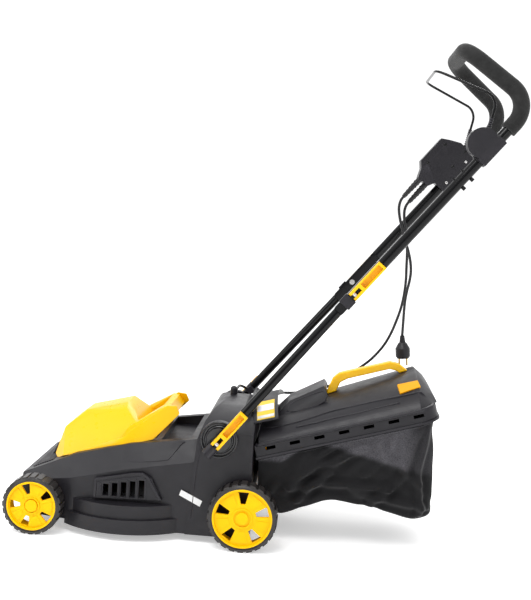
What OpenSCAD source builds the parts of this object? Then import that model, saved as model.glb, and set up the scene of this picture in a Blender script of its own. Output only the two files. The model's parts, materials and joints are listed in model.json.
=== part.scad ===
// Corded electric rotary mower with a folding handle and a rear grass box.
// +X points to the front, +Y to the mower's left, +Z up. The origin is on the ground,
// under the middle of the whole object. Millimetres.

/* [Wheels] */
// Distance between the front and rear axles
wheelbase = 490; // [485:1:495]
// Radius of the rear wheels over the tread
rear_wheel_r = 80; // [78:0.5:81]
// Radius of the front wheels over the tread
front_wheel_r = 68.5; // [66:0.5:70]
// Width of the rear tyres
rear_tyre_w = 40; // [34:1:41]
// Width of the front tyres
front_tyre_w = 43; // [34:1:43]
// Tread blocks round each tyre
tread_blocks = 24; // [16:4:32]

/* [Deck] */
// Half width of the deck's straight sides
deck_half_w = 178; // [176:0.5:178]
// Radius of the round skirt over the blade
skirt_r = 220; // [212:1:222]
// Thickness of the plastic walls
wall = 4; // [3:0.5:4]
// Length of the cutting blade
blade_len = 340; // [310:10:344]

/* [Handle] */
// Angle of the handle above the ground
handle_angle = 51; // [51:1:51]
// Radius of the lower handle tubes
lower_tube_r = 11; // [10:0.5:11]
// Radius of the upper handle tube
upper_tube_r = 12.5; // [11.5:0.5:12.5]
// Wall of the handle tubes
tube_wall = 1.2; // [1:0.1:1.5]
// Radius of the foam grip
foam_r = 18.5; // [17:0.5:19]
// Length of the cam levers
lever_len = 100; // [90:1:100]

/* [Grass box] */
// Slope of the box frame
box_slope = 16.5; // [16:0.5:17]
// Half width of the box frame
box_half_w = 165; // [160:1:165]
// Height of the slotted band
band_h = 27; // [24:1:28]

/* [Hidden] */
$fn = 48;
yellow = [1, 0.82, 0.05];
dark = [0.2, 0.19, 0.21];
steel = [0.75, 0.75, 0.78];
fit = 0.05;                        // radial clearance of a turning fit
bead = 0.15;                       // how far a weld bead stands out of a bent tube
rear_axle_x = 7.6;
rear_track = 226;                  // outer face of the rear tyres from the middle
front_track = 221;                 // outer face of the front tyres from the middle
axle_r = 5;
blade_x = ahead(285);
pivot = [ahead(66), 0, 250];       // lower handle pivot, in the middle plane
mid_s = 455;                       // folding bolt, distance along the handle from the pivot
flap_hinge = [ahead(6), 0, 309];
splay = atan((208 - 160) / 405);   // lower tubes close in towards the top
bail_pivot = [16, 0, 888];       // in the handle's frame
route_dia = 7;

// Places along the length are measured from the rear axle
function ahead(d) = rear_axle_x + d;
function behind(d) = rear_axle_x - d;
function unit(v) = v / norm(v);

// ---- shared shapes ----
module both_sides() {
    children();
    mirror([0, 1, 0]) children();
}

module hull_of(points) {
    hull() polyhedron(points, [[for (i = [0:len(points) - 1]) i]]);
}

// Cylinder along Y from y0 to y1
module bar_y(r, y0, y1) {
    translate([0, y0, 0]) rotate([-90, 0, 0]) cylinder(r = r, h = y1 - y0);
}

// Frame of the handle: Z runs up the tubes, X is the side facing the front, Y is the mower's left
module on_handle() {
    translate(pivot) rotate([0, handle_angle - 90, 0]) children();
}

// Frame of the left lower tube: Z along the tube, Y away from the mower
module on_lower_tube(s = 0) {
    on_handle() translate([0, 208, 0]) rotate([splay, 0, 0]) translate([0, 0, s]) children();
}

// Round or hollow tube through corner points, with every corner rounded to bend_r
module pipe(points, bend_r, r, inner = 0) {
    n = len(points);
    function turn(i) = acos(unit(points[i] - points[i - 1]) * unit(points[i + 1] - points[i]));
    function cut(i) = (i == 0 || i == n - 1) ? 0 : bend_r * tan(turn(i) / 2);
    module ring(proud = 0) difference() {
        circle(r + proud);
        if (inner > 0) circle(inner - proud);
    }
    for (i = [0:n - 2]) {
        d = unit(points[i + 1] - points[i]);
        side = abs(d[1]) < 0.9 ? unit(cross([0, 1, 0], d)) : unit(cross([1, 0, 0], d));
        a = points[i] + d * cut(i);
        h = norm(points[i + 1] - points[i]) - cut(i) - cut(i + 1);
        place(side, cross(d, side), d, a) {
            linear_extrude(h) ring();
            // weld beads where the straights meet the bends
            if (i > 0) translate([0, 0, -1]) linear_extrude(2) ring(bead);
            if (i < n - 2) translate([0, 0, h - 1]) linear_extrude(2) ring(bead);
        }
    }
    for (i = [1:1:n - 2]) {
        u = unit(points[i] - points[i - 1]);
        v = unit(points[i + 1] - points[i]);
        to_centre = unit(v - u * (u * v));
        centre = points[i] - u * cut(i) + to_centre * bend_r;
        place(-to_centre, u, cross(-to_centre, u), centre)
            rotate_extrude(angle = turn(i)) translate([bend_r, 0]) ring();
    }
}

module place(x, y, z, at) {
    multmatrix([[x[0], y[0], z[0], at[0]], [x[1], y[1], z[1], at[1]], [x[2], y[2], z[2], at[2]]])
        children();
}

// Tube with one ring at each point of a route, for a lead
module cord(route, aim) {
    sides = 8;
    n = len(route);
    function tangent(i) = unit(route[min(i + 1, n - 1)] - route[max(i - 1, 0)]);
    rings = [for (i = [0:n - 1]) let (t = tangent(i), a = unit(cross(t, aim)), b = cross(t, a))
        for (k = [0:sides - 1]) route[i] + (a * cos(360 * k / sides) + b * sin(360 * k / sides))
            * route_dia / 2];
    skin = [for (i = [0:n - 2]) for (k = [0:sides - 1]) let (m = (k + 1) % sides)
        [i * sides + k, (i + 1) * sides + k, (i + 1) * sides + m, i * sides + m]];
    ends = [[for (k = [0:sides - 1]) k], [for (k = [sides - 1:-1:0]) (n - 1) * sides + k]];
    polyhedron(rings, concat(skin, ends));
}

// ---- deck ----
// Half cross-sections of the deck as [x, ridge height, shoulder half width, shoulder height]
deck_sections = [[ahead(535), 124, 150, 108], [ahead(410), 178, 178, 130],
    [ahead(281), 212, 178, 160], [ahead(118), 236, 178, 191]];
ridge_y = 140;
chamber_top = 96;
skirt_step = 52;
plate_t = 4;

function deck_ring(s, off, low) = [for (side = [-1, 1]) for (p = [[ridge_y - off * 0.6, s[1] - off],
    [s[2] - off, s[3] - off * 0.7], [s[2] - off, low]]) [s[0], side * p[0], p[1]]];

module deck_body(off, low) {
    for (i = [0:len(deck_sections) - 2])
        hull_of(concat(deck_ring(deck_sections[i] + [i == 0 ? -off : 0, 0, 0, 0], off, low),
            deck_ring(deck_sections[i + 1] - [i == 2 ? off * 2 : 0, 0, 0, 0], off, low)));
}

module skirt(off, low) {
    intersection() {
        translate([blade_x, 0, 0]) union() {
            translate([0, 0, low]) cylinder(r = skirt_r - off, h = skirt_step - low - off / 2, $fn = 96);
            cylinder(r = skirt_r - 7 - off, h = 84 - off, $fn = 96);
        }
        translate([ahead(125), -250, low]) cube([ahead(463) - ahead(125) - off, 500, 100]);
    }
}

module vent_slots(y) {
    // Five upright slots, taller towards the rear
    for (i = [0:4]) translate([ahead(318) - i * 21, y, 97]) cube([13, 24, 28 + i * 3.6]);
}

module vent_box() {
    // Raised louvre
    difference() {
        translate([0, deck_half_w + 9, 0]) rotate([90, 0, 0]) linear_extrude(11) polygon([[ahead(350), 90],
            [ahead(348), 137], [ahead(240), 156], [ahead(218), 146], [ahead(192), 96]]);
        vent_slots(deck_half_w - 10);
    }
}

module deck_shell() {
    color(dark) difference() {
        union() {
            difference() {
                union() {
                    deck_body(0, 30);
                    skirt(0, 18);
                }
                difference() {
                    union() {
                        deck_body(wall, 10);
                        skirt(wall, 0);
                    }
                    translate([ahead(120), -200, chamber_top]) cube([350, 400, plate_t]);
                }
                // well for the motor, under the yellow cover
                translate([ahead(225), -104, 150]) cube([215, 208, 120]);
                // recess behind the cover
                translate([ahead(140), -120, 205]) cube([70, 240, 60]);
                // air slots behind the louvres
                both_sides() vent_slots(deck_half_w - 10);
            }
            // floor and sides of the recess behind the cover
            difference() {
                hull_of([for (x = [[136, 232], [214, 220]]) for (y = [-124, 124]) for (z = [201, x[1]])
                    [ahead(x[0]), y, z]]);
                translate([ahead(140), -120, 205]) cube([70, 240, 60]);
            }
            // lower edge of the sides, behind the round skirt
            both_sides() translate([ahead(118.2), deck_half_w - wall, 18]) cube([40, wall, 20]);
            // wall in front of the blade
            translate([ahead(459), -150, 30]) cube([plate_t, 300, 70]);
            both_sides() vent_box();
            both_sides() translate([ahead(490), 0, front_wheel_r]) bar_y(11, 140, 168);
        }
        translate([blade_x, 0, chamber_top - 1]) cylinder(r = 20, h = plate_t + 2);
        // way out of the chamber for the cut grass
        translate([ahead(110), -110, 34]) cube([40, 220, 58]);
        translate([ahead(490), 0, front_wheel_r]) bar_y(axle_r + fit, -200, 200);
        for (a = [45:90:315]) translate([blade_x + 34 * cos(a), 34 * sin(a), 90]) cylinder(r = 2.6, h = 20);
    }
}

// ---- rear housing ----
arch_r = 350;
arch_top = 315;
cheek_y = 182;
housing_side = [[ahead(136), 18], [ahead(131), 56], [ahead(123), 176], [ahead(117), 246],
    [ahead(104), 284], [ahead(92), 301], [ahead(76), 311], [ahead(44), 316], [ahead(20), 308],
    [ahead(2), 296], [behind(12), 292], [behind(14), 18]];
mouth = [[behind(20), -112, 102], [ahead(20), 112, 232]];   // discharge mouth, low and high corners

module housing_body(off) {
    intersection() {
        rotate([90, 0, 0]) linear_extrude(2 * (cheek_y - off), center = true)
            offset_side(off);
        translate([ahead(200), 0, arch_top - arch_r - off]) rotate([0, -90, 0])
            cylinder(r = arch_r, h = 300, $fn = 160);
    }
}

module offset_side(off) {
    middle = [ahead(60), 150];
    polygon([for (p = housing_side) [p[0] + (p[0] > middle[0] ? -off : off),
        p[1] + (p[1] > 100 ? -off : -30) * (off > 0 ? 1 : 0)]]);
}

module holder_boss() {
    translate([ahead(58), -28, 300]) union() {
        cylinder(r = 9, h = 26);
        translate([0, 0, 26]) sphere(r = 9);
    }
}

module rear_housing() {
    color(dark) difference() {
        union() {
            difference() {
                housing_body(0);
                housing_body(wall);
                // mouth towards the grass box
                translate(mouth[0]) cube(mouth[1] - mouth[0] - [15, 0, 0]);
                // room for the deck's rear end
                translate([ahead(117.5), -deck_half_w - 0.3, 0]) cube([40, 2 * deck_half_w + 0.6, 238]);
            }
            // front wall of the bridge, above the deck
            translate([ahead(108), -150, 236]) cube([wall, 300, 26]);
            // tunnel floor and sides
            translate([behind(12), -116, 94]) cube([74, 232, wall]);
            both_sides() translate([behind(12), 112, 94]) cube([74, wall, 140]);
            holder_boss();
            both_sides() {
                translate([pivot[0], 0, pivot[2]]) bar_y(43, cheek_y - 8, cheek_y + 8);
                translate([pivot[0], 0, pivot[2]]) bar_y(28, cheek_y, 193.2);
                translate([ahead(0), 0, rear_wheel_r]) bar_y(12, 150, cheek_y);
            }
            // knuckles of the flap hinge
            for (y = [-118, 0, 118]) translate(flap_hinge + [0, y, 0]) union() {
                bar_y(6, -8, 8);
                translate([-6, -8, -24]) cube([12, 16, 24]);
            }
        }
        both_sides() difference() {
            translate([pivot[0], 0, pivot[2]]) bar_y(38, cheek_y + 4, cheek_y + 20);
            translate([pivot[0], 0, pivot[2]]) bar_y(28, cheek_y, 200);
        }
        both_sides() translate([pivot[0], 0, pivot[2]]) bar_y(4 + fit, 150, 220);
        translate([ahead(0), 0, rear_wheel_r]) bar_y(axle_r + fit, -200, 200);
        translate(flap_hinge) bar_y(3 + fit, -130, 130);
        // blind hole that takes the lead
        translate([ahead(58), -45, 323]) bar_y(route_dia / 2 + 0.1, 0, 16);
    }
}

// ---- yellow motor cover ----
function cover_points(off) = [for (side = [-1, 1]) for (p = [
    [466, 96, 152], [474, 84, 160], [445, 122, 166], [255, 128, 216], [262, 112, 236],
    [456, 70, 224], [444, 40, 236], [412, 38, 262], [405, 62, 250],
    [310, 40, 289], [308, 64, 276], [290, 40, 274], [284, 62, 262], [270, 90, 244]])
    [ahead(p[0] - (p[0] > 350 ? off : -off)), side * (p[1] - off), p[2] - (p[2] > 230 ? off : off * 1.5)]];

module motor_cover() {
    arm_end = [[217, 294], [202, 293], [188, 272], [203, 255]];
    color(yellow) difference() {
        union() {
            difference() {
                hull_of(cover_points(0));
                hull_of(cover_points(3));
            }
            both_sides() hull_of(concat(
                [for (p = [[305, 224], [290, 247], [262, 224], [296, 216]]) for (y = [96, 124])
                    [ahead(p[0]), y, p[1]]],
                [for (p = arm_end) for (y = [64, 82]) [ahead(p[0]), y, p[1]]]));
            rotate([90, 0, 0]) linear_extrude(140, center = true)
                polygon([for (p = arm_end) [ahead(p[0]), p[1]]]);
        }
        // the edge sits on the deck
        deck_body(-fit, 30);
    }
}

// ---- motor and blade ----
motor_r = 46;
shaft_r = 6;

module motor_can() {
    color(steel) translate([blade_x, 0, 0]) difference() {
        translate([0, 0, 100.4]) cylinder(r = motor_r, h = 92);
        translate([0, 0, 118]) cylinder(r = motor_r - 3, h = 60);
        translate([0, 0, 90]) cylinder(r = 12, h = 120);
        for (z = [100, 182.4]) translate([0, 0, z]) cylinder(r = 16 + fit, h = 10);
        for (a = [45:90:315]) translate([34 * cos(a), 34 * sin(a), 99]) cylinder(r = 2.5 + fit, h = 15);
    }
}

module stator_core() {
    color([0.5, 0.35, 0.2]) translate([blade_x, 0, 120]) difference() {
        cylinder(r = motor_r - 3 - fit, h = 56);
        translate([0, 0, -1]) cylinder(r = 24.5, h = 58);
    }
}

module motor_bearings() {
    color(steel) for (z = [100.4, 182.4]) translate([blade_x, 0, z]) difference() {
        cylinder(r = 16, h = 9.6);
        translate([0, 0, -1]) cylinder(r = shaft_r + fit, h = 12);
    }
}

module motor_bolts() {
    color(steel) for (a = [45:90:315]) translate([blade_x + 34 * cos(a), 34 * sin(a), 0]) union() {
        translate([0, 0, 93]) cylinder(r = 4.5, h = 3);
        translate([0, 0, 95]) cylinder(r = 2.5, h = 17);
    }
}

module rotor_core() {
    color([0.55, 0.55, 0.58]) translate([blade_x, 0, 120]) difference() {
        cylinder(r = 24, h = 56);
        translate([0, 0, -1]) cylinder(r = shaft_r + fit, h = 58);
    }
}

module motor_shaft() {
    color(steel) translate([blade_x, 0, 52]) difference() {
        cylinder(r = shaft_r, h = 142);
        translate([0, 0, -1]) cylinder(r = 3 + fit, h = 26);
    }
}

module blade_hub() {
    color(dark) translate([blade_x, 0, 0]) difference() {
        union() {
            translate([0, 0, 48]) cylinder(r = 20, h = 34);
            translate([0, 0, 58]) cylinder(r = 66, h = 3);
            for (a = [0:36:324]) rotate([0, 0, a]) translate([18, -1.2, 59]) cube([44, 2.4, 20]);
        }
        translate([0, 0, 52]) cylinder(r = shaft_r + fit, h = 40);
        translate([0, 0, 40]) cylinder(r = 3 + fit, h = 20);
    }
}

module blade() {
    half = blade_len / 2;
    color(steel) translate([blade_x, 0, 44.6]) difference() {
        intersection() {
            union() {
                cube_centred([blade_len, 48, 3.2]);
                for (a = [0, 180]) rotate([0, 0, a]) translate([half - 70, 24, 0]) rotate([-62, 0, 0])
                    translate([0, -3, 0]) cube([68, 3.2, 14]);
            }
            translate([0, 0, -5]) cylinder(r = half, h = 40, $fn = 96);
        }
        translate([0, 0, -1]) cylinder(r = 3 + fit, h = 6);
    }
}

module cube_centred(size) {
    translate([-size[0] / 2, -size[1] / 2, 0]) cube(size);
}

module blade_bolt() {
    color(steel) translate([blade_x, 0, 0]) union() {
        translate([0, 0, 34]) cylinder(r = 9, h = 8, $fn = 6);
        translate([0, 0, 42]) cylinder(r = 16, h = 2.4);
        translate([0, 0, 44]) cylinder(r = 3, h = 30);
    }
}

// ---- axles and wheels ----
module front_axle() {
    color(steel) translate([ahead(490), 0, front_wheel_r])
        bar_y(axle_r, -(front_track - 8), front_track - 8);
}

module rear_axle() {
    color(steel) translate([ahead(0), 0, rear_wheel_r])
        bar_y(axle_r, -(rear_track - 8), rear_track - 8);
}

module axle_washers() {
    color(steel) both_sides() {
        washer([ahead(wheelbase), 0, front_wheel_r], 168.2, front_track - front_tyre_w + 4.8);
        washer([ahead(0), 0, rear_wheel_r], cheek_y + 0.2, rear_track - rear_tyre_w + 4.8);
    }
}

module washer(at, y0, y1) {
    translate(at) difference() {
        bar_y(9, y0, y1);
        bar_y(axle_r + fit, y0 - 1, y1 + 1);
    }
}

// Wheel parts stand with the outer face up, at the height of the tyre's outer face
module rim(r, w, turn) {
    difference() {
        union() {
            translate([0, 0, -w + 2]) difference() {
                cylinder(r = r, h = w - 3);
                translate([0, 0, -1]) cylinder(r = r - 4, h = w + 2);
            }
            translate([0, 0, -13]) cylinder(r = r - 1, h = 6);
            translate([0, 0, -w + 5]) cylinder(r = 14, h = w - 7);
            translate([0, 0, -9]) difference() {
                cylinder(r = r * 0.34, h = 5);
                translate([0, 0, -1]) cylinder(r = r * 0.29, h = 8);
            }
            for (i = [0:4]) rotate([0, 0, turn + 36 + 72 * i]) translate([0, 0, -8])
                linear_extrude(2.2) polygon([[0.46 * r, -0.1 * r], [0.84 * r, -0.2 * r],
                    [0.84 * r, 0.2 * r], [0.46 * r, 0.1 * r]]);
        }
        for (i = [0:4]) rotate([0, 0, turn + 72 * i]) translate([0, 0, -20])
            linear_extrude(30) polygon([[0.47 * r, -0.075 * r], [0.885 * r, -0.18 * r],
                [0.885 * r, 0.18 * r], [0.47 * r, 0.075 * r]]);
        translate([0, 0, -w]) cylinder(r = axle_r + fit, h = w - 7.8);
    }
}

module tyre(r, w, rim_r) {
    union() {
        translate([0, 0, -w]) rotate_extrude() polygon([[rim_r + 0.1, 2], [r - 7, 0], [r - 2.4, 3],
            [r - 2.4, w - 3], [r - 7, w], [rim_r + 0.1, w - 1]]);
        for (i = [0:tread_blocks - 1]) rotate([0, 0, 90 + 360 / tread_blocks * i])
            translate([r - 4, -r * 0.085, -w + 3.5]) cube([4, r * 0.17, w - 7]);
    }
}

front_rim_r = front_wheel_r * 0.84;
rear_rim_r = rear_wheel_r * 0.86;

module on_front_wheel() {
    translate([ahead(wheelbase), front_track, front_wheel_r]) rotate([-90, 0, 0]) children();
}

module on_rear_wheel() {
    translate([ahead(0), rear_track, rear_wheel_r]) rotate([-90, 0, 0]) children();
}

module front_rim() { color(yellow) on_front_wheel() rim(front_rim_r, front_tyre_w, 0); }
module front_tyre() { color(dark) on_front_wheel() tyre(front_wheel_r, front_tyre_w, front_rim_r); }
module rear_rim() { color(yellow) on_rear_wheel() rim(rear_rim_r, rear_tyre_w, 54); }
module rear_tyre() { color(dark) on_rear_wheel() tyre(rear_wheel_r, rear_tyre_w, rear_rim_r); }

// ---- lower handle ----
flat_t = 8;                         // thickness of the flattened tube ends
flat_top = 545;                     // upper end of the lower tubes' flats
lower_flat_y = 154.5;               // inner face of the lower tubes' flats
upper_flat_y = 163;                 // inner face of the upper tube's flats

// Flattened tube end: a bar with round long edges and round ends, from s0 to s1 along the handle
module flat_end(y, half_w, s0, s1) {
    translate([0, y, 0]) rotate([-90, 0, 0]) linear_extrude(flat_t) union() {
        translate([-half_w, -(s1 - half_w)]) square([2 * half_w, s1 - s0 - 2 * half_w]);
        translate([0, -(s1 - half_w)]) circle(half_w);
        translate([0, -(s0 + half_w)]) circle(half_w);
    }
}

module lower_tube() {
    color(dark) difference() {
        union() {
            on_lower_tube(-36) difference() {
                cylinder(r = lower_tube_r, h = 436);
                translate([0, 0, -1]) cylinder(r = lower_tube_r - tube_wall, h = 421);
            }
            on_handle() flat_end(lower_flat_y, 12, 392, flat_top);
        }
        translate(pivot) bar_y(4 + fit, 190, 230);
        on_handle() translate([0, 0, mid_s]) bar_y(3 + fit, 150, 170);
    }
}

module lower_end_caps() {
    color(dark) both_sides() on_lower_tube(-40) difference() {
        cylinder(r = lower_tube_r + 2.2, h = 26);
        translate([0, 0, 3]) cylinder(r = lower_tube_r + fit, h = 30);
        translate([-20, -2, 8]) cube([40, 4, 30]);
    }
}

lower_pin_y = 229.5;                // cross pin of the lower levers, from the middle
upper_pin_y = 181.2;                // cross pin of the upper levers, from the middle
cam_r = 9;

// Bolt along Y with a flat head inside and an eye for the cross pin outside
module eye_bolt(y0, y1, r, eye_r) {
    difference() {
        union() {
            bar_y(r, y0, y1);
            bar_y(2.2 * r, y0 - 0.6 * r, y0);
            translate([0, y1, 0]) rotate([0, 90, 0]) cylinder(r = eye_r, h = 7, center = true);
        }
        translate([0, y1, 0]) rotate([0, 90, 0]) cylinder(r = 2.5 + fit, h = 20, center = true);
    }
}

module lower_pivot_bolts() {
    color(steel) both_sides() on_handle() eye_bolt(173, lower_pin_y, 4, 5);
}

module upper_pivot_bolts() {
    color(steel) both_sides() on_handle() translate([0, 0, mid_s]) eye_bolt(154, upper_pin_y, 3, 5);
}

module cross_pin(s, y) {
    on_handle() translate([0, y, s]) rotate([0, 90, 0]) cylinder(r = 2.5, h = 22, center = true);
}

module lower_lever_pins() { color(steel) both_sides() cross_pin(0, lower_pin_y); }
module upper_lever_pins() { color(steel) both_sides() cross_pin(mid_s, upper_pin_y); }

// Cam lever along Z from its pin at the origin, with an open channel on its outer face
module cam_lever() {
    half_w = 11;
    depth = 16;
    fork_half = 4.7;
    color(yellow) difference() {
        union() {
            translate([-half_w, cam_r - depth, 0]) cube([2 * half_w, depth, lever_len - cam_r]);
            rotate([0, 90, 0]) cylinder(r = cam_r, h = 2 * half_w, center = true);
        }
        translate([-7, -4, 26]) cube([14, 20, lever_len - cam_r - 32]);
        translate([-fork_half, -12, -15]) cube([2 * fork_half, 30, 33]);
        rotate([0, 90, 0]) cylinder(r = 2.5 + fit, h = 40, center = true);
    }
}

module lower_lever() { on_handle() translate([0, lower_pin_y, 0]) rotate([splay, 0, 0]) cam_lever(); }
module upper_lever() { on_handle() translate([0, upper_pin_y, mid_s]) cam_lever(); }

// ---- upper handle ----
upper_y = 166;
loop_y = 118;
top_v = 188;
loop_bend = 58;
upper_start = 556;                  // where the flats end and the round tube starts
corner_s = 1024;
foam_start = 946;
bracket_bolts = [790, 816];         // cross bolts in the left tube, along the handle
loop_corners = [[0, upper_y, corner_s], [top_v, loop_y, corner_s - 2],
    [top_v, -loop_y, corner_s - 2], [0, -upper_y, corner_s]];

module upper_tube() {
    color(dark) on_handle() difference() {
        union() {
            pipe(concat([[0, upper_y, upper_start - 8]], loop_corners, [[0, -upper_y, upper_start - 8]]),
                loop_bend, upper_tube_r, upper_tube_r - tube_wall);
            both_sides() flat_end(upper_flat_y, 12, 424, upper_start + 4);
        }
        both_sides() translate([0, 0, mid_s]) bar_y(3 + fit, 150, 175);
        for (s = bracket_bolts) translate([0, upper_y, s]) rotate([0, 90, 0])
            cylinder(r = 2.5 + fit, h = 40, center = true);
    }
}

module upper_end_caps() {
    color(dark) on_handle() both_sides() difference() {
        translate([-15, upper_flat_y + 0.2, 419]) cube([30, 10.4, 24]);
        flat_end(upper_flat_y, 12 + fit, 424, 500);
        translate([-12 - fit, upper_flat_y - 1, 436]) cube([24 + 2 * fit, 9, 10]);
    }
}

module foam_grip() {
    color([0.13, 0.13, 0.13]) on_handle()
        pipe(concat([[0, upper_y, foam_start]], loop_corners, [[0, -upper_y, foam_start]]),
            loop_bend, foam_r, upper_tube_r + fit + 2 * bead);
}

// ---- bail and its bearings ----
bail_bend = 34;
wire_r = 3;
bail_y = 166;
bail_corners = [[66, bail_y, 984], [206, 118, 944], [206, -118, 944], [66, -bail_y, 984]];

module bail_wire() {
    foot = [bail_pivot[0], bail_y + 4, bail_pivot[2]];
    foot_right = [foot[0], -foot[1], foot[2]];
    color(steel) on_handle() {
        pipe(concat([foot], bail_corners, [foot_right]), bail_bend, wire_r);
        both_sides() translate([bail_pivot[0], 0, bail_pivot[2]]) bar_y(wire_r, bail_y - 8, bail_y + 14);
    }
}

module bail_bracket() {
    // Round housing over the wire's left foot, with a sleeve round the tube
    color(dark) on_handle() difference() {
        union() {
            translate([bail_pivot[0] + 6, 0, bail_pivot[2]]) bar_y(34, bail_y - 14, bail_y + 20);
            translate([0, upper_y, 852]) cylinder(r = upper_tube_r + 4, h = 72);
            translate([-16, bail_y - 14, 854]) cube([22, 34, 68]);
        }
        translate([0, upper_y, 840]) cylinder(r = upper_tube_r + fit, h = 100);
        // slot for the wire's swing and the bore for its foot
        translate([bail_pivot[0] - 4, bail_y - 4.5, bail_pivot[2] - 4]) cube([60, 14, 60]);
        translate([bail_pivot[0], 0, bail_pivot[2]]) bar_y(wire_r + fit, bail_y - 8.2, bail_y + 14.2);
    }
}

// ---- switch box on the right tube ----
box_split = -152;
box_outline = [[-11, 780], [-11, 896], [40, 896], [64, 884], [84, 872], [84, 798], [70, 784], [60, 762],
    [28, 762], [20, 780]];

module box_half(y0, y1) {
    on_handle() difference() {
        translate([0, y1, 0]) rotate([90, 0, 0]) linear_extrude(y1 - y0) polygon(box_outline);
        translate([20, -172, 792]) cube([54, 38, 82]);
        translate([0, -upper_y, 700]) cylinder(r = upper_tube_r + fit, h = 300);
        translate([bail_pivot[0], 0, bail_pivot[2]]) bar_y(wire_r + fit, -bail_y - 14.2, -bail_y + 8.2);
        translate([bail_pivot[0] - 4, -bail_y - 9.5, bail_pivot[2] - 6]) cube([90, 14, 40]);
        for (p = [[66, 867], [67, 805], [15, 840]]) translate([p[0], 0, p[1]]) bar_y(2 + fit, -200, -120);
        for (y = boot_y) translate([boot_v(y), y, 700]) cylinder(r = route_dia / 2 + 0.3, h = 100);
        translate([52, -190, 835]) bar_y(9.2, -10, 20);
    }
}

module switch_box_inner() { color(dark) box_half(box_split + 0.1, -128); }
module switch_box_outer() { color(dark) box_half(-184, box_split - 0.1); }

module switch_unit() {
    color([0.15, 0.15, 0.17]) on_handle() translate([24, -164, 798]) cube([22, 28, 44]);
}

module lock_off_button() {
    color(yellow) on_handle() translate([52, 0, 835]) union() {
        bar_y(9, -190, -174);
        bar_y(5, -174, -164);
    }
}

module handle_screws() {
    color(steel) on_handle() {
        for (p = [[66, 867], [67, 805], [15, 840]]) translate([p[0], 0, p[1]]) bar_y(2, -182, -129.5);
        for (s = bracket_bolts) translate([0, upper_y, s]) union() {
            translate([-20, 0, 0]) rotate([0, 90, 0]) cylinder(r = 2.5, h = 36);
            translate([-20, 0, 0]) rotate([0, 90, 0]) cylinder(r = 4.5, h = 7.4);
        }
    }
}

boot_len = 60;
boot_y = [-134, -146];
function boot_v(y) = y == boot_y[0] ? 54 : 34;

module cable_boots() {
    color(dark) on_handle() for (y = boot_y) translate([boot_v(y), y, 762 - boot_len]) difference() {
        union() {
            cylinder(r1 = 5, r2 = 7.5, h = boot_len);
            for (i = [0:4]) translate([0, 0, 6 + i * 10]) cylinder(r = 6 + i * 0.5, h = 4);
        }
        translate([0, 0, -1]) cylinder(r = route_dia / 2 + 0.5, h = boot_len + 2);
    }
}

// ---- leads ----
power_route = [[ahead(-339), -134, 836], [ahead(-334), -134, 829.5], [ahead(-329), -134, 822],
    [ahead(-326), -134, 812], [ahead(-325), -134, 800], [ahead(-327), -134, 785],
    [ahead(-331), -133, 768], [ahead(-337), -132, 748], [ahead(-344), -130, 726],
    [ahead(-352), -128, 705], [ahead(-359), -126, 684], [ahead(-364), -124, 662],
    [ahead(-366), -122, 640], [ahead(-364), -121, 616], [ahead(-360), -120, 594],
    [ahead(-357), -119, 570], [ahead(-356), -118, 545], [ahead(-356), -118, 520],
    [ahead(-356), -118, 496], [ahead(-356), -118, 478]];
motor_route = [[ahead(-354.5), -146, 823.5], [ahead(-349), -146, 817], [ahead(-344), -146, 809],
    [ahead(-341), -146, 800], [ahead(-340), -146, 788], [ahead(-342), -146, 770],
    [ahead(-346), -146, 752], [ahead(-350), -146, 732], [ahead(-353), -146, 708],
    [ahead(-355), -146, 682], [ahead(-356), -146, 650], [ahead(-357), -146, 620],
    [ahead(-356), -146, 592], [ahead(-353), -146, 564], [ahead(-348), -146, 538],
    [ahead(-340), -146, 510], [ahead(-330), -148, 480], [ahead(-316), -149, 450],
    [ahead(-299), -150, 425], [ahead(-280), -151, 403], [ahead(-256), -152, 382],
    [ahead(-231), -153, 362], [ahead(-206), -154, 343], [ahead(-181), -155, 328],
    [ahead(-150), -157, 315], [ahead(-117), -160, 306], [ahead(-90), -163, 301],
    [ahead(-64), -167, 298], [ahead(-40), -172, 297], [ahead(-18), -177, 297],
    [ahead(4), -182.5, 296.6], [ahead(28.4), -184.3, 296.3], [ahead(39.4), -182, 299.5],
    [ahead(48.4), -176, 305], [ahead(54.4), -167, 308.5], [ahead(56.4), -157, 310]];
bridge_route = [[ahead(56.4), -156, 310.1], [ahead(56.9), -140, 311], [ahead(57.4), -120, 312],
    [ahead(57.9), -100, 314], [ahead(58), -80, 317], [ahead(58), -60, 320.5],
    [ahead(58), -44, 323], [ahead(58), -32, 323]];

module power_cord() { color(dark) cord(power_route, [0, 1, 0]); }
module motor_cord_upper() { color(dark) cord(motor_route, [0.2, 1, -0.6]); }
module motor_cord_lower() { color(dark) cord(bridge_route, [0.3, 0, 1]); }

plug_at = [ahead(-356), -118, 478];
module on_plug() { translate(plug_at) rotate([0, 186, 0]) children(); }

module plug_body() {
    color(dark) on_plug() union() {
        cylinder(r1 = 5.5, r2 = 8, h = 18);
        translate([0, 0, 18]) cylinder(r1 = 10, r2 = 18, h = 14);
        translate([0, 0, 32]) cylinder(r = 18.5, h = 22);
        translate([0, 0, 54]) cylinder(r = 16, h = 4);
    }
}

module plug_pins() {
    color([0.8, 0.6, 0.3]) on_plug() for (x = [-9.5, 9.5]) translate([x, 0, 58]) cylinder(r = 2.4, h = 19);
}

module tube_clip() {
    // Snap clip round the right lower tube, holding the lead on the tube's inner side
    color(dark) mirror([0, 1, 0]) on_lower_tube(54) difference() {
        union() {
            cylinder(r = lower_tube_r + 3, h = 16);
            translate([-8, -26, 0]) cube([16, 17, 16]);
        }
        translate([0, 0, -1]) cylinder(r = lower_tube_r + fit, h = 20);
        translate([8, -6, -1]) cube([12, 12, 20]);
        translate([0, -16.5, 8]) rotate([0, 180 - handle_angle, 0])
            cylinder(r = route_dia / 2 + 2.6, h = 40, center = true);
    }
}

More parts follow.
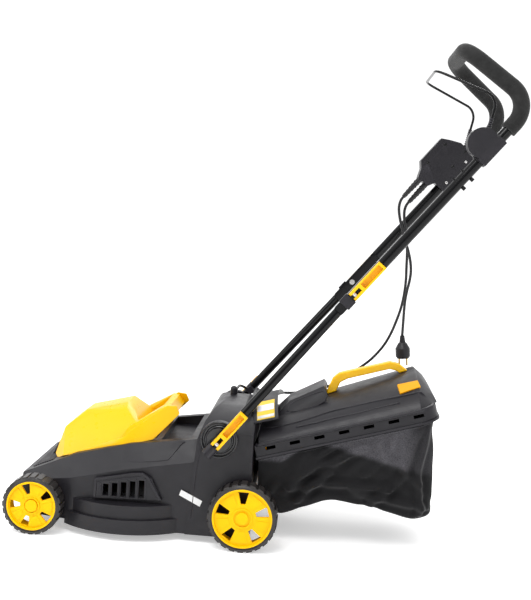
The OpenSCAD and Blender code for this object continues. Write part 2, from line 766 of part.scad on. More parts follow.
// ---- discharge flap ----
flap_y = 146;
flap_rise = 16;                     // degrees, as the flap lies on the box lid

module on_flap() { translate(flap_hinge) rotate([0, flap_rise, 0]) children(); }

module discharge_flap() {
    // Arched plate that follows the bridge, with two long knuckles on the pin
    color(dark) on_flap() difference() {
        union() {
            intersection() {
                translate([-8, 0, 6.5 - arch_r]) rotate([0, -90, 0]) difference() {
                    cylinder(r = arch_r, h = 58, $fn = 160);
                    translate([0, 0, -1]) cylinder(r = arch_r - 3, h = 60, $fn = 160);
                }
                translate([-80, -flap_y, -60]) cube([80, 2 * flap_y, 80]);
            }
            for (y = [-59, 59]) union() {
                bar_y_at(y, 6, 44);
                translate([-16, y - 44, -9]) cube([14, 88, 13]);
            }
        }
        bar_y(3 + fit, -130, 130);
    }
}

module bar_y_at(y, r, half) { translate([0, y, 0]) bar_y(r, -half, half); }

module flap_pin() { color(steel) translate(flap_hinge) bar_y(3, -127, 127); }

module flap_springs() {
    color(steel) for (y = [-12.5, 12.5]) translate(flap_hinge + [0, y, 0]) difference() {
        bar_y(5, -2, 2);
        bar_y(3 + fit, -3, 3);
    }
}

module warning_label() {
    // Thin band on the flap's left side
    color([0.9, 0.85, 0.3]) on_flap() intersection() {
        translate([-16, 0, 6.5 - arch_r]) rotate([0, -90, 0]) difference() {
            cylinder(r = arch_r + 0.6, h = 42, $fn = 160);
            translate([0, 0, -1]) cylinder(r = arch_r, h = 44, $fn = 160);
        }
        translate([-80, 58, -60]) cube([80, 84, 80]);
    }
}

// ---- grass box ----
// The box frame stands in a sloped frame: X rearwards along the slope, Z square to it
box_front = 21.5;
box_rear = 433;
frame_len = (box_rear - box_front) / cos(box_slope);
corner_r = 45;

module on_box() { translate([behind(box_front), 0, 209.45]) rotate([0, box_slope, 180]) children(); }

module box_plan(off) {
    // Straight sides with two rounded rear corners
    y = box_half_w - off;
    union() {
        translate([off, -y]) square([frame_len - corner_r - off, 2 * y]);
        translate([off, -y + corner_r]) square([frame_len - 2 * off, 2 * (y - corner_r)]);
        for (s = [-1, 1]) translate([frame_len - corner_r - off, s * (y - corner_r)]) circle(corner_r);
    }
}

module box_frame() {
    slot = [24, 8];
    color(dark) translate([behind(box_front), 0, 209.45]) rotate([0, box_slope, 0])
        mirror([1, 0, 0]) difference() {
            union() {
                linear_extrude(band_h) box_plan(0);
                translate([0, 0, -5]) linear_extrude(5) box_plan(-2.5);
            }
            translate([0, 0, -6]) linear_extrude(band_h + 8) box_plan(3.5);
            for (i = [0:6]) translate([24 + i * 58, -200, 12]) cube([slot[0], 400, slot[1]]);
            for (y = [-90:45:90]) translate([frame_len - 20, y - 12, 12]) cube([40, slot[0], slot[1]]);
        }
}

function lid_points(off) = [for (side = [-1, 1]) for (p = [[22, 160, 238], [22, 150, 252],
    [22, 116, 266], [22, 60, 276], [22, 0, 282], [390, 160, 347], [388, 150, 362], [385, 118, 388],
    [382, 50, 413], [382, 0, 418], [412, 140, 354], [430, 108, 359], [420, 100, 374], [406, 50, 394]])
    [behind(p[0] - (p[0] > 200 ? off : -off)), side * max(p[1] - off, 0), p[2] - (p[1] < 155 ? off : off / 2)]];

hump = [[40, 76, 270], [176, 76, 322], [84, 46, 322], [166, 48, 366], [172, 60, 356]];

function hump_points(off) = [for (side = [-1, 1]) for (p = hump) [behind(p[0] - (p[0] > 100 ? off : -off)),
    side * (p[1] - off), p[2] - off]];

module box_lid() {
    color(dark) difference() {
        union() {
            hull_of(lid_points(0));
            hull_of(hump_points(0));
        }
        hull_of(lid_points(3));
        hull_of(hump_points(3));
        // room for the flap over the lid's front edge
        on_flap() translate([-70, 0, 1 - arch_r]) rotate([0, -90, 0]) translate([0, 0, -80]) difference() {
            cylinder(r = arch_r + 40, h = 80, $fn = 160);
            translate([0, 0, -1]) cylinder(r = arch_r, h = 82, $fn = 160);
        }
    }
}

module box_handle() {
    outer = [[174, 304], [171, 330], [186, 371], [200, 384], [222, 391], [322, 421], [343, 417],
        [394, 384], [388, 374]];
    inner = [[370, 384], [338, 400], [322, 403], [222, 372], [205, 362], [192, 330], [192, 306]];
    color(yellow) difference() {
        rotate([90, 0, 0]) linear_extrude(24, center = true)
            polygon([for (p = concat(outer, inner)) [behind(p[0]), p[1] + 8]]);
        // both feet stand on the lid
        hull_of(lid_points(0));
        hull_of(hump_points(0));
    }
}

bag_front = 24;
function bag_points(front, off) = [for (side = [-1, 1]) for (p = front
    ? [[bag_front, 156, 203], [bag_front, 118, 102], [92, 130, 58], [250, 158, 270], [250, 140, 100]]
    : [[250, 158, 270], [250, 140, 100], [408, 130, 70], [430, 118, 84], [404, 152, 316], [436, 112, 325],
        [424, 112, 180]])
    [behind(p[0]), side * (p[1] - off), p[2] + (p[2] < 150 ? off : (off > 0 ? 8 : 0))]];

module grass_bag() {
    color([0.1, 0.1, 0.11]) difference() {
        union() {
            hull_of(bag_points(true, 0));
            hull_of(bag_points(false, 0));
        }
        difference() {
            union() {
                hull_of(bag_points(true, 3));
                hull_of(bag_points(false, 3));
            }
            translate([behind(460), -200, 0]) cube([30, 400, 330]);
        }
        // front mouth
        translate([behind(40), -112, 104]) cube([30, 224, 120]);
    }
}

deck_shell();
rear_housing();
motor_cover();
motor_can();
stator_core();
motor_bearings();
motor_bolts();
rotor_core();
motor_shaft();
blade_hub();
blade();
blade_bolt();
front_axle();
rear_axle();
axle_washers();
front_rim();  // front_left_rim
front_tyre();  // front_left_tyre
mirror([0, 1, 0]) front_rim();  // front_right_rim
mirror([0, 1, 0]) front_tyre();  // front_right_tyre
rear_rim();  // rear_left_rim
rear_tyre();  // rear_left_tyre
mirror([0, 1, 0]) rear_rim();  // rear_right_rim
mirror([0, 1, 0]) rear_tyre();  // rear_right_tyre
lower_tube();  // lower_tube_left
mirror([0, 1, 0]) lower_tube();  // lower_tube_right
lower_end_caps();
lower_pivot_bolts();
lower_lever_pins();
lower_lever();  // lower_lever_left
mirror([0, 1, 0]) lower_lever();  // lower_lever_right
upper_tube();
upper_end_caps();
upper_pivot_bolts();
upper_lever_pins();
upper_lever();  // upper_lever_left
mirror([0, 1, 0]) upper_lever();  // upper_lever_right
foam_grip();
bail_wire();
bail_bracket();
switch_box_inner();
switch_box_outer();
handle_screws();
switch_unit();
lock_off_button();
cable_boots();
power_cord();
plug_body();
plug_pins();
motor_cord_upper();
motor_cord_lower();
tube_clip();
discharge_flap();
flap_pin();
flap_springs();
box_lid();
box_frame();
grass_bag();
box_handle();
warning_label();
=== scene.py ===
"""Looks of a corded electric rotary mower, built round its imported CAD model. Metres, row frame."""
import json
import math

import bmesh
import bpy
from mathutils import Matrix, Vector, noise
from mathutils.bvhtree import BVHTree

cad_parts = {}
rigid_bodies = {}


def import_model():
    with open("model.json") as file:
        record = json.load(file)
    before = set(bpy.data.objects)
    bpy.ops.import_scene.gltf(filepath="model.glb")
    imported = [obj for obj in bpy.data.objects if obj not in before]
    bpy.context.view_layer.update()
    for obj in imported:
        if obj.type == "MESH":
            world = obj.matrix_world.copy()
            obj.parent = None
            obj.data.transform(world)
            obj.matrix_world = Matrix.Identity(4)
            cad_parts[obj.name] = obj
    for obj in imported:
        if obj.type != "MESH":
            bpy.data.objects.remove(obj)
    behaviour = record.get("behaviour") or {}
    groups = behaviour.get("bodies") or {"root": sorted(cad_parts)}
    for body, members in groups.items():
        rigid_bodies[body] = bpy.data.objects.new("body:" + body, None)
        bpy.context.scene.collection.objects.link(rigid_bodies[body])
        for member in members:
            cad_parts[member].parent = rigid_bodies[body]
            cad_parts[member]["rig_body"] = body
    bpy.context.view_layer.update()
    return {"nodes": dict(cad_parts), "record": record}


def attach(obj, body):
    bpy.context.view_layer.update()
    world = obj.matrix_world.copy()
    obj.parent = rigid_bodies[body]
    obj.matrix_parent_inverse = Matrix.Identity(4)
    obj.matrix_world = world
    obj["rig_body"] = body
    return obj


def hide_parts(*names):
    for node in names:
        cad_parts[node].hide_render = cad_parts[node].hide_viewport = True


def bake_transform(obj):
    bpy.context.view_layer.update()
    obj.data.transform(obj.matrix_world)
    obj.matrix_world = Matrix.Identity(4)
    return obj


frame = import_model()
NODES = frame["nodes"]
MM = 0.001
REAR_AXLE = 0.0076
PIVOT = Vector((0.0736, 0, 0.250))
HANDLE_LEAN = math.radians(39)
UP_TUBE = Vector((-math.sin(HANDLE_LEAN), 0, math.cos(HANDLE_LEAN)))
FORWARD = Vector((math.cos(HANDLE_LEAN), 0, math.sin(HANDLE_LEAN)))


# ---- materials ----
def new_material(name):
    """A material, its node tree's adder and its Principled shader."""
    mat = bpy.data.materials.new(name)
    mat.use_nodes = True
    tree = mat.node_tree
    tree.nodes.clear()
    out = tree.nodes.new("ShaderNodeOutputMaterial")
    shader = tree.nodes.new("ShaderNodeBsdfPrincipled")
    tree.links.new(shader.outputs[0], out.inputs[0])
    return mat, tree, shader


def add_node(tree, kind, **inputs):
    node = tree.nodes.new(kind)
    for key, value in inputs.items():
        node.inputs[key.replace("_", " ")].default_value = value
    return node


def place_coords(tree):
    return add_node(tree, "ShaderNodeTexCoord").outputs["Object"]


def noise_out(tree, scale, detail=3, rough=0.5):
    tex = add_node(tree, "ShaderNodeTexNoise", Scale=scale, Detail=detail, Roughness=rough)
    tree.links.new(place_coords(tree), tex.inputs["Vector"])
    return tex.outputs["Fac"]


def ramp(tree, fac, stops):
    """Colour ramp through (position, colour) stops; a number stands for a grey."""
    node = add_node(tree, "ShaderNodeValToRGB")
    tree.links.new(fac, node.inputs[0])
    band = node.color_ramp
    while len(band.elements) < len(stops):
        band.elements.new(0.5)
    for element, (at, colour) in zip(band.elements, stops):
        element.position = at
        element.color = (colour,) * 3 + (1,) if isinstance(colour, (int, float)) else (*colour, 1)
    return node.outputs[0]


def bump(tree, shader, height, strength, distance=MM):
    node = add_node(tree, "ShaderNodeBump", Strength=strength, Distance=distance)
    tree.links.new(height, node.inputs["Height"])
    earlier = shader.inputs["Normal"].links
    if earlier:
        tree.links.new(earlier[0].from_socket, node.inputs["Normal"])
    tree.links.new(node.outputs[0], shader.inputs["Normal"])


def lighter(colour, k):
    return tuple(min(1.0, c * k) for c in colour)


def moulded(name, colour, roughness, grain=900, depth=0.25, worn=1.8, coat=0.0, spread=0.12, specular=0.5):
    """Moulded plastic or paint: cloudy colour, paler worn edges, fine grain and soft smears in the gloss."""
    mat, tree, shader = new_material(name)
    clouds = ramp(tree, noise_out(tree, 14, 4),
                  [(0.3, lighter(colour, 1 - spread)), (0.7, lighter(colour, 1 + spread))])
    geometry = add_node(tree, "ShaderNodeNewGeometry")
    edges = ramp(tree, geometry.outputs["Pointiness"], [(0.52, 0.0), (0.58, 1.0)])
    mix = add_node(tree, "ShaderNodeMix")
    mix.data_type = "RGBA"
    tree.links.new(edges, mix.inputs[0])
    tree.links.new(clouds, mix.inputs[6])
    mix.inputs[7].default_value = (*lighter(colour, worn), 1)
    tree.links.new(mix.outputs[2], shader.inputs["Base Color"])
    smears = ramp(tree, noise_out(tree, 38, 5, 0.6),
                  [(0.3, roughness * 0.82), (0.75, min(1, roughness * 1.25))])
    tree.links.new(smears, shader.inputs["Roughness"])
    shader.inputs["Specular IOR Level"].default_value = specular
    shader.inputs["Coat Weight"].default_value = coat
    shader.inputs["Coat Roughness"].default_value = 0.12
    bump(tree, shader, noise_out(tree, grain, 2), depth, 0.2 * MM)
    bump(tree, shader, noise_out(tree, 26, 2), 0.10, MM)
    return mat


def metal(name, colour, roughness):
    """Bare metal with fine turning marks."""
    marks = 260
    mat, tree, shader = new_material(name)
    tint = ramp(tree, noise_out(tree, 60, 4), [(0.3, lighter(colour, 0.8)), (0.7, colour)])
    tree.links.new(tint, shader.inputs["Base Color"])
    shader.inputs["Metallic"].default_value = 1
    gloss = ramp(tree, noise_out(tree, marks, 4), [(0.3, roughness * 0.6), (0.8, roughness * 1.4)])
    tree.links.new(gloss, shader.inputs["Roughness"])
    bump(tree, shader, noise_out(tree, marks * 3, 2), 0.2, 0.1 * MM)
    return mat


def foam_material():
    """Closed-cell foam: matt, pitted and slightly cloudy."""
    mat, tree, shader = new_material("foam")
    cells = add_node(tree, "ShaderNodeTexVoronoi", Scale=1400)
    tree.links.new(place_coords(tree), cells.inputs["Vector"])
    clouds = ramp(tree, noise_out(tree, 70, 5), [(0.3, 0.009), (0.75, 0.018)])
    tree.links.new(clouds, shader.inputs["Base Color"])
    shader.inputs["Roughness"].default_value = 0.78
    shader.inputs["Specular IOR Level"].default_value = 0.2
    shader.inputs["Sheen Weight"].default_value = 0.1
    shader.inputs["Sheen Roughness"].default_value = 0.5
    bump(tree, shader, cells.outputs["Distance"], 0.55, 0.3 * MM)
    bump(tree, shader, noise_out(tree, 90, 4), 0.35, 0.8 * MM)
    return mat


def fabric_material():
    """Fine open mesh: a tight weave, with painted light in paler, mottled areas higher up, where light shows
    through the thin mesh.
    """
    mat, tree, shader = new_material("mesh_fabric")
    coords = place_coords(tree)
    weave = []
    for turn in (0.35, 0.35 + math.pi / 2):
        mapping = add_node(tree, "ShaderNodeMapping")
        mapping.inputs["Rotation"].default_value = (0, turn, 0)
        tree.links.new(coords, mapping.inputs["Vector"])
        wave = add_node(tree, "ShaderNodeTexWave", Scale=150, Distortion=1.2, Detail=2)
        tree.links.new(mapping.outputs[0], wave.inputs["Vector"])
        weave.append(wave.outputs["Fac"])
    threads = add_node(tree, "ShaderNodeMath")
    threads.operation = "MAXIMUM"
    for i in (0, 1):
        tree.links.new(weave[i], threads.inputs[i])
    split = add_node(tree, "ShaderNodeSeparateXYZ")
    tree.links.new(coords, split.inputs[0])

    def band(direction, stops):
        """A soft-edged half space, from the place measured along a direction."""
        dot = add_node(tree, "ShaderNodeVectorMath")
        dot.operation = "DOT_PRODUCT"
        dot.inputs[1].default_value = direction
        tree.links.new(coords, dot.inputs[0])
        return ramp(tree, dot.outputs["Value"], stops)

    def combine(operation, a, b):
        node = add_node(tree, "ShaderNodeMath")
        node.operation = operation
        tree.links.new(a, node.inputs[0])
        tree.links.new(b, node.inputs[1])
        return node.outputs[0]

    # painted light: the paler upper areas stand for light that shows through the open mesh
    rear_area = combine("MULTIPLY", band((-0.2455, 0, 1), [(0.287, 0.0), (0.298, 1.0)]),
                        band((-1, 0, 0), [(0.35, 1.0), (0.385, 0.25)]))
    front_area = combine("MULTIPLY", band((0.88, 0, 1), [(0.132, 0.0), (0.14, 1.0)]),
                         ramp(tree, split.outputs["Z"], [(0.198, 0.0), (0.206, 1.0)]))
    thin = combine("MAXIMUM", rear_area, front_area)
    mottled_light_through = combine("MULTIPLY", thin, ramp(tree, noise_out(tree, 420, 2), [(0.3, 0.35), (0.7, 1.0)]))
    tree.links.new(ramp(tree, mottled_light_through, [(0.0, (0.0045, 0.0043, 0.0052)), (1.0, (0.085, 0.082, 0.092))]),
                   shader.inputs["Base Color"])
    shader.inputs["Roughness"].default_value = 0.82
    shader.inputs["Specular IOR Level"].default_value = 0.25
    shader.inputs["Sheen Weight"].default_value = 0.12
    shader.inputs["Sheen Roughness"].default_value = 0.45
    bump(tree, shader, threads.outputs[0], 0.45, 0.35 * MM)
    bump(tree, shader, noise_out(tree, 60, 4), 0.3, 1.2 * MM)
    return mat


MATS = {
    "black_plastic": moulded("black_plastic", (0.0122, 0.0114, 0.0142), 0.4, grain=1500, depth=0.3, worn=1.9,
                             specular=0.3),
    "boss_plastic": moulded("boss_plastic", (0.009, 0.009, 0.0105), 0.24, grain=1500, depth=0.1, worn=1.6),
    "yellow_plastic": moulded("yellow_plastic", (0.9, 0.5, 0.002), 0.3, grain=700, depth=0.05, worn=1.0,
                              coat=0.05, spread=0.03, specular=0.28),
    "rim_yellow": moulded("rim_yellow", (0.9, 0.52, 0.0), 0.36, grain=700, depth=0.05, worn=1.0, spread=0.03,
                          specular=0.12),
    "black_paint": moulded("black_paint", (0.0035, 0.0035, 0.004), 0.14, grain=500, depth=0.03, worn=1.3,
                           specular=0.22),
    "steel": metal("steel", (0.62, 0.61, 0.60), 0.28),
    "copper_and_iron": metal("copper_and_iron", (0.32, 0.2, 0.12), 0.5),
    "tyre": moulded("tyre", (0.0145, 0.0125, 0.012), 0.33, grain=1100, depth=0.35, worn=2.2, specular=0.45),
    "foam": foam_material(),
    "cord_sheath": moulded("cord_sheath", (0.0085, 0.0085, 0.0095), 0.4, grain=1800, depth=0.15, worn=1.2,
                           specular=0.4),
    "brass": metal("brass", (0.72, 0.5, 0.22), 0.25),
    "mesh_fabric": fabric_material(),
    "label": moulded("label", (0.75, 0.5, 0.02), 0.4, worn=1.0, spread=0.05),
    "label_grey": moulded("label_grey", (0.42, 0.42, 0.44), 0.4, spread=0.25),
    "label_white": moulded("label_white", (0.7, 0.7, 0.7), 0.4, worn=1.0, spread=0.04),
    "pale_yellow": moulded("pale_yellow", (0.80, 0.36, 0.004), 0.5, worn=1.0, spread=0.1, specular=0.15),
}


# ---- geometry helpers ----
def link(obj):
    bpy.context.scene.collection.objects.link(obj)
    return obj


def add_piece(name, bm, body, mat, smooth=True):
    """A new piece from a bmesh, riding on a body."""
    mesh = bpy.data.meshes.new(name)
    bmesh.ops.recalc_face_normals(bm, faces=bm.faces)
    bm.to_mesh(mesh)
    bm.free()
    for polygon in mesh.polygons:
        polygon.use_smooth = smooth
    mesh.materials.append(MATS[mat])
    obj = link(bpy.data.objects.new(name, mesh))
    if body:
        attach(obj, body)
    return obj


def round_edges(obj, width, segments=3, angle=30):
    """Rounds the piece's sharp edges so that they catch the light."""
    cut = obj.modifiers.new("round", "BEVEL")
    cut.width, cut.segments = width, segments
    cut.limit_method, cut.angle_limit = "ANGLE", math.radians(angle)
    cut.use_clamp_overlap = True
    cut.miter_outer = "MITER_ARC"
    obj.modifiers.new("shade", "WEIGHTED_NORMAL").keep_sharp = False
    return obj


def skin(node, width):
    """A copy of a CAD node with rounded edges, which stands for the node."""
    bm = bmesh.new()
    bm.from_mesh(NODES[node].data)
    bmesh.ops.remove_doubles(bm, verts=bm.verts, dist=1e-5)
    if node not in UNMERGED:
        bmesh.ops.dissolve_limit(bm, angle_limit=math.radians(0.3), verts=bm.verts, edges=bm.edges,
                                 delimit={"NORMAL"})
    slot = SLOT_OF[node]
    piece = add_piece(node + "_skin", bm, NODES[node]["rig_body"], slot)
    round_edges(piece, width)
    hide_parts(node)
    return piece


def at(back, y, z):
    """The point that lies back, y and z millimetres from the rear axle's middle plane and the ground."""
    return Vector((REAR_AXLE - back * MM, y * MM, z * MM))


def on_handle(v, y, s):
    """A point in the handle's frame: s up the tubes from the lower pivot, v towards the front."""
    return PIVOT + FORWARD * (v * MM) + UP_TUBE * (s * MM) + Vector((0, y * MM, 0))


def smooth_path(points, step=0, per=0):
    """A smooth curve through the points, as points about step apart or as per to each span."""
    pts = [Vector(p) for p in points]
    ends = [pts[0] * 2 - pts[1], *pts, pts[-1] * 2 - pts[-2]]
    out = []
    for i in range(1, len(ends) - 2):
        a, b, c, d = ends[i - 1:i + 3]
        n = per or max(1, round((c - b).length / step))
        for k in range(n):
            t = k / n
            out.append(0.5 * (2 * b + (c - a) * t + (2 * a - 5 * b + 4 * c - d) * t * t
                              + (3 * b - a - 3 * c + d) * t ** 3))
    return out + [pts[-1]]


def close_rings(bm, rings):
    """Faces between each ring of vertices and the next, and a cap on both ends."""
    count = len(rings[0])
    for a, b in zip(rings, rings[1:]):
        for k in range(count):
            bm.faces.new((a[k], a[(k + 1) % count], b[(k + 1) % count], b[k]))
    bm.faces.new(rings[0][::-1])
    bm.faces.new(rings[-1])
    return bm


def circle(bm, centre, side, other, radius, sides):
    """A ring of new vertices in the plane of side and other."""
    turns = [2 * math.pi * k / sides for k in range(sides)]
    return [bm.verts.new(centre + (side * math.cos(a) + other * math.sin(a)) * radius) for a in turns]


def sweep(path, radius, sides=14):
    """A closed round tube along a path."""
    bm = bmesh.new()
    side, rings = None, []
    for i, point in enumerate(path):
        along = (path[min(i + 1, len(path) - 1)] - path[max(i - 1, 0)]).normalized()
        side = along.orthogonal() if side is None else side - along * side.dot(along)
        side = side.normalized()
        rings.append(circle(bm, point, side, along.cross(side), radius, sides))
    return close_rings(bm, rings)


def lathe(base, axis, profile, sides=48):
    """A closed turned form: profile is (distance along axis, radius) in mm, from one end to the other."""
    along = Vector(axis).normalized()
    side = along.orthogonal().normalized()
    other = along.cross(side)
    bm = bmesh.new()
    rings = [circle(bm, Vector(base) + along * (d * MM), side, other, r * MM, sides) for d, r in profile]
    return close_rings(bm, rings)


def slab(corners, thick):
    """A closed plate: corners lie on its back, and each is raised by thick (a vector for each corner)."""
    bm = bmesh.new()
    low = [bm.verts.new(c) for c in corners]
    top = [bm.verts.new(Vector(c) + Vector(t)) for c, t in zip(corners, thick)]
    bm.faces.new(low[::-1])
    bm.faces.new(top)
    count = len(low)
    for k in range(count):
        bm.faces.new((low[k], low[(k + 1) % count], top[(k + 1) % count], top[k]))
    return bm


def join(parts):
    """One bmesh from several."""
    whole = bmesh.new()
    for part in parts:
        mesh = bpy.data.meshes.new("part")
        part.to_mesh(mesh)
        part.free()
        whole.from_mesh(mesh)
        bpy.data.meshes.remove(mesh)
    return whole


# ---- every CAD node gets a finish, and the moulded ones get rounded edges ----
SLOT_OF = {s["node"]: s["material_slot"] for s in frame["record"]["subparts"]}
for node, obj in NODES.items():
    obj.data.materials.clear()
    obj.data.materials.append(MATS[SLOT_OF[node]])

# nodes whose flat faces stay unmerged, because a merged face with openings in it isn't always filled truly
UNMERGED = ("box_frame", "deck_shell", "rear_housing", "discharge_flap", "switch_box_outer",
            "switch_box_inner", "rear_left_rim")
WHEELS = ("front_left", "front_right", "rear_left", "rear_right")
RIMS = [wheel + "_rim" for wheel in WHEELS]
# width of the rounding on each node's sharp edges, in mm
ROUNDED = {
    "deck_shell": 2.2, "rear_housing": 2.0, "motor_cover": 5.0,
    "box_lid": 3.0, "box_frame": 0.8, "box_handle": 3.0,
    **{rim: 0.7 for rim in RIMS},
    **{wheel + "_tyre": 1.0 for wheel in WHEELS},
    "lower_lever_left": 1.0, "lower_lever_right": 1.0, "upper_lever_left": 1.0, "upper_lever_right": 1.0,
    "lower_end_caps": 1.0, "upper_end_caps": 1.5, "bail_bracket": 2.0, "switch_box_inner": 2.5,
    "switch_box_outer": 2.5, "lock_off_button": 1.2, "plug_body": 1.5, "tube_clip": 0.6,
    "discharge_flap": 0.8, "cable_boots": 0.5, "foam_grip": 2.5, "blade": 0.5, "blade_hub": 0.6,
    "lower_tube_left": 1.0, "lower_tube_right": 1.0, "upper_tube": 1.0,
}
SKINS = {node: skin(node, width * MM) for node, width in ROUNDED.items()}
for rim in RIMS:
    SKINS[rim].data.materials[0] = MATS["rim_yellow"]
NODES["handle_screws"].data.materials[0] = MATS["black_paint"]

BOSS_FACE = 184 * MM                # the bosses' outer faces, from the middle plane
BOSS_CAP_R = 36 * MM


def gloss_boss_caps():
    housing = SKINS["rear_housing"].data
    housing.materials.append(MATS["boss_plastic"])
    for polygon in housing.polygons:
        beside = polygon.center - PIVOT
        if abs(beside.y) > BOSS_FACE and math.hypot(beside.x, beside.z) < BOSS_CAP_R:
            polygon.material_index = 1


gloss_boss_caps()


# ---- leads: points as back of the rear axle, across and up, in mm ----
POWER_ROUTE = [(339, -134, 836), (334, -134, 829.5), (329, -134, 822), (326, -134, 812), (325, -134, 800),
               (327, -134, 785), (331, -133, 768), (337, -132, 748), (344, -130, 726), (352, -128, 705),
               (359, -126, 684), (364, -124, 662), (366, -122, 640), (364, -121, 616), (360, -120, 594),
               (357, -119, 570), (356, -118, 545), (356, -118, 520), (356, -118, 496), (356, -118, 478)]
MOTOR_ROUTE = [(354.5, -146, 823.5), (349, -146, 817), (344, -146, 809), (341, -146, 800), (340, -146, 788),
               (342, -146, 770), (346, -146, 752), (350, -146, 732), (353, -146, 708), (355, -146, 682),
               (356, -146, 650), (357, -146, 620), (356, -146, 592), (353, -146, 564), (348, -146, 538),
               (340, -146, 510), (330, -148, 480), (316, -149, 450), (299, -150, 425), (280, -151, 403),
               (256, -152, 382), (231, -153, 362), (206, -154, 343), (181, -155, 328), (150, -157, 315),
               (117, -160, 306), (90, -163, 301), (64, -167, 298), (40, -172, 297), (18, -177, 297),
               (-4, -182.5, 296.6), (-28.4, -184.3, 296.3), (-39.4, -182, 299.5), (-48.4, -176, 305),
               (-54.4, -167, 308.5), (-56.4, -157, 310)]
BRIDGE_ROUTE = [(-56.4, -156, 310.1), (-56.9, -140, 311), (-57.4, -120, 312), (-57.9, -100, 314),
                (-58, -80, 317), (-58, -60, 320.5), (-58, -44, 323), (-58, -32, 323)]
CLIP_BACK = -28.4                   # where the clip on the right tube holds the motor lead
LEAD_R = 3.5 * MM


def lead(name, path, body, node, blend=None, **facts):
    """A lead along a path, on one body or on none, which stands for a CAD node."""
    piece = add_piece(name, sweep(path, LEAD_R), body, "cord_sheath")
    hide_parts(node)
    if blend:
        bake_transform(piece)


def add_leads():
    power = smooth_path([at(*p) for p in POWER_ROUTE], 4 * MM)
    lead("power_lead", power, "upper_handle", "power_cord", far_end="plug", lay="hanging",
         with_pieces=[SKINS["plug_body"], NODES["plug_pins"]])
    route = [at(*p) for p in MOTOR_ROUTE]
    clipped = next(i for i, p in enumerate(MOTOR_ROUTE) if p[0] == CLIP_BACK)
    lead("motor_lead_upper", smooth_path(route[:clipped + 1], 5 * MM), None, "motor_cord_upper",
         blend=("lower_handle", "upper_handle", at(210, -156, 350), at(352, -146, 700)), far_end="object",
         lay="hanging")
    lead("motor_lead_lower", smooth_path(route[clipped:-1] + [at(*p) for p in BRIDGE_ROUTE], 4 * MM), None,
         "motor_cord_lower", blend=("lower_handle", "deck", at(-33, -184, 297), at(-57, -140, 311)),
         far_end="object", lay="taut")


add_leads()


# ---- grass bag ----
# Stations along the bag, in mm: rim and low edge back of the rear axle, half widths of rim and low edge,
# height of the low edge
BAG_STATIONS = [
    (26, 26, 158, 118, 94), (45, 42, 159, 123, 76), (85, 85, 159, 130, 64), (140, 142, 159, 133, 88),
    (199, 199, 159, 134, 108), (258, 260, 159, 134, 102), (317, 317, 159, 133, 90), (362, 368, 158, 131, 79),
    (390, 403, 156, 128, 75), (406, 424, 148, 122, 80), (416, 436, 139, 116, 93), (421, 434, 131, 112, 115),
    (424, 427, 124, 108, 150), (425, 420, 118, 106, 190), (425, 415, 114, 104, 235),
    (425, 415, 110, 102, 270), (425, 418, 108, 100, 300), (425, 423, 106, 98, 325)]
# Folds on the bag's sides as (height of the fold, its width, its points back of the axle and up), in mm
BAG_FOLDS = [
    (4.5, 9, [(205, 262), (150, 205), (93, 143)]), (4.0, 8, [(275, 252), (210, 218), (159, 196), (101, 139)]),
    (3.5, 8, [(225, 226), (180, 180), (140, 135)]), (3.5, 9, [(363, 188), (328, 146), (292, 111)]),
    (3.2, 8, [(395, 300), (383, 276), (362, 204)]),
    (4.0, 9, [(86, 126), (147, 151), (239, 155), (331, 150)]),
    (3.0, 9, [(300, 262), (318, 220), (362, 204), (398, 168)]),
    (3.5, 7, [(413, 315), (394, 210), (408, 95)]),
    (3.0, 7, [(195, 179), (150, 140), (119, 105)]), (3.0, 10, [(140, 226), (110, 180), (60, 130)]),
    (3.2, 9, [(250, 140), (300, 128), (380, 118), (420, 110)]),
    (2.6, 8, [(340, 290), (330, 240), (270, 180)])]
FOLD_DEPTH = 2.5                    # multiplies the folds' heights
HEM = [(24, 160), (120, 160.5), (260, 160.5), (380, 160), (400, 155), (416, 142), (423, 120), (424, 60)]
BOX_SLOPE = math.tan(math.radians(16.5))


def rim_z(back):
    """Height of the box frame's lower edge, in mm."""
    return 209 + (back - 20) * BOX_SLOPE


def bag_section(station):
    """Points of one U-shaped section, from the left rim under the bag to the right rim."""
    rim, low, half, half_low, z_low = station
    top = rim_z(rim) + 3

    def point(side, down, y, drop=0.0):
        return Vector((rim + (low - rim) * down, side * y, top + (z_low - top) * down + drop))

    half_side = [(0, half), (0.3, half * 0.992), (0.62, half + (half_low - half) * 0.45),
                 (0.9, half + (half_low - half) * 0.86), (0.985, half_low * 0.93), (1.0, half_low * 0.55)]
    left = [point(1, d, y) for d, y in half_side]
    right = [point(-1, d, y) for d, y in half_side]
    depth = max(0.0, top - z_low)
    return smooth_path(left + [point(1, 1, 0, -min(3, depth * 0.02))] + right[::-1], per=10)


def distance_to(point, line):
    """Distance from a point to the nearest place on a line of points."""
    best = 1e9
    for a, b in zip(line, line[1:]):
        t = max(0.0, min(1.0, (point - a).dot(b - a) / (b - a).length_squared))
        best = min(best, (point - a - (b - a) * t).length)
    return best


def fold_height(x, z, side):
    """How far the cloth stands out at a place on one side of the bag, in mm."""
    here = Vector((x, z))
    out = 0.0
    for height, width, line in BAG_FOLDS:
        pts = [Vector((px + (0 if side > 0 else 11 * math.sin(px)), pz)) for px, pz in line]
        near = distance_to(here, pts) / width
        if near < 4:
            out += FOLD_DEPTH * height * (math.exp(-near * near) - 0.45 * math.exp(-(near - 1.9) ** 2))
    return out


